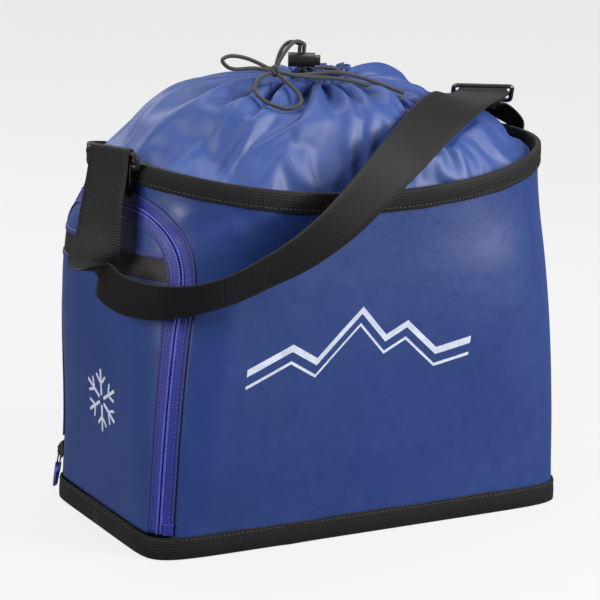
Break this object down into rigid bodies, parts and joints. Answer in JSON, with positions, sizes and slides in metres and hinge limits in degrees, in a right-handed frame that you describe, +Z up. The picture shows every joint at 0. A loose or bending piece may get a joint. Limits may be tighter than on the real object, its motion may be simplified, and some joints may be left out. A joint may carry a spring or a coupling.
{
  "type": "ski boot bag",
  "caption": "Soft rectangular boot bag with a gathered drawstring top, a zipped ventilated door in one end, a stiffened flat base and a webbing shoulder strap.",
  "frame": {"origin": "centre of the underside of the base", "axes": "+Z up from the base to the drawstring neck, +X along the bag's width to the end without the door, -Y towards the front face"},
  "size_m": [0.5217, 0.3213, 0.4677],
  "materials": {
    "wall_fabric": "satin coated weave",
    "collar_fabric": "thin coated weave, creased",
    "base_fabric": "coarse coated weave",
    "board": "plain stiffening sheet",
    "binding": "ribbed tape",
    "webbing": "ribbed webbing",
    "zip_tape": "knitted tape",
    "zip_coil": "moulded coil",
    "vent_mesh": "open mesh",
    "buckle_plastic": "moulded, soft gloss",
    "zip_metal": "dark plated",
    "pull_tab": "moulded",
    "cord": "braided"
  },
  "bodies": {
    "bag": {"front_panel": "wall_fabric", "back_panel": "wall_fabric", "right_end_panel": "wall_fabric", "left_header": "wall_fabric", "base_panel": "base_fabric", "base_board": "board", "base_binding": "binding", "rim_binding": "binding", "zip_tape_bag": "zip_tape", "zip_coil_bag": "zip_coil", "zip_stop_front": "zip_tape", "zip_stop_rear": "zip_tape", "collar": "collar_fabric", "left_anchor": "webbing", "right_anchor": "webbing"},
    "strap": {"left_tab": "webbing", "left_ring": "buckle_plastic", "shoulder_strap": "webbing", "strap_adjuster": "buckle_plastic", "right_tab": "webbing"},
    "door": {"door_lower_panel": "wall_fabric", "door_vent_mesh": "vent_mesh", "door_upper_panel": "wall_fabric", "zip_tape_door": "zip_tape", "zip_coil_door": "zip_coil"},
    "zip_slider": {"zip_slider_body": "zip_metal"},
    "zip_pull": {"zip_pull_loop": "zip_metal"},
    "zip_tab": {"zip_pull_tab": "pull_tab"},
    "neck": {"collar_hem": "collar_fabric", "drawcord": "cord"},
    "cord_lock": {"cord_lock_body": "buckle_plastic"},
    "cord_button": {"cord_lock_button": "buckle_plastic"}
  },
  "joints": [
    {"name": "strap_swing", "type": "hinge", "parent": "bag", "child": "strap", "pos_m": [0.2305, 0, 0.36], "axis": [-0.9968, -0.0778, -0.0173], "range_deg": [0, 60], "deforming": ["shoulder_strap", "left_tab", "right_tab"]},
    {"name": "door_swing", "type": "hinge", "parent": "bag", "child": "door", "pos_m": [-0.23, 0, 0.0245], "axis": [0, -1, 0], "range_deg": [0, 90]},
    {"name": "zip_slider_travel", "type": "slide", "parent": "bag", "child": "zip_slider", "axis": [0.029, -0.0118, 0.9995], "range_m": [0, 0.06]},
    {"name": "zip_pull_swing", "type": "hinge", "parent": "zip_slider", "child": "zip_pull", "pos_m": [-0.22291, 0.11473, 0.04316], "axis": [0.7269, 0.6868, 0], "range_deg": [0, 100]},
    {"name": "zip_tab_swing", "type": "hinge", "parent": "zip_pull", "child": "zip_tab", "pos_m": [-0.22457, 0.1162, 0.02833], "axis": [0.7269, 0.6868, 0], "range_deg": [0, 80]},
    {"name": "neck_sink", "type": "slide", "parent": "bag", "child": "neck", "axis": [0, 0, -1], "range_m": [0, 0.06], "deforming": ["collar"]},
    {"name": "cord_lock_slide", "type": "slide", "parent": "neck", "child": "cord_lock", "axis": [0, 0, 1], "range_m": [0, 0.003]},
    {"name": "cord_button_press", "type": "slide", "parent": "cord_lock", "child": "cord_button", "axis": [-0.8761, 0.4821, 0], "range_m": [0, 0.0035], "stiffness_N_per_m": 300}
  ]
}
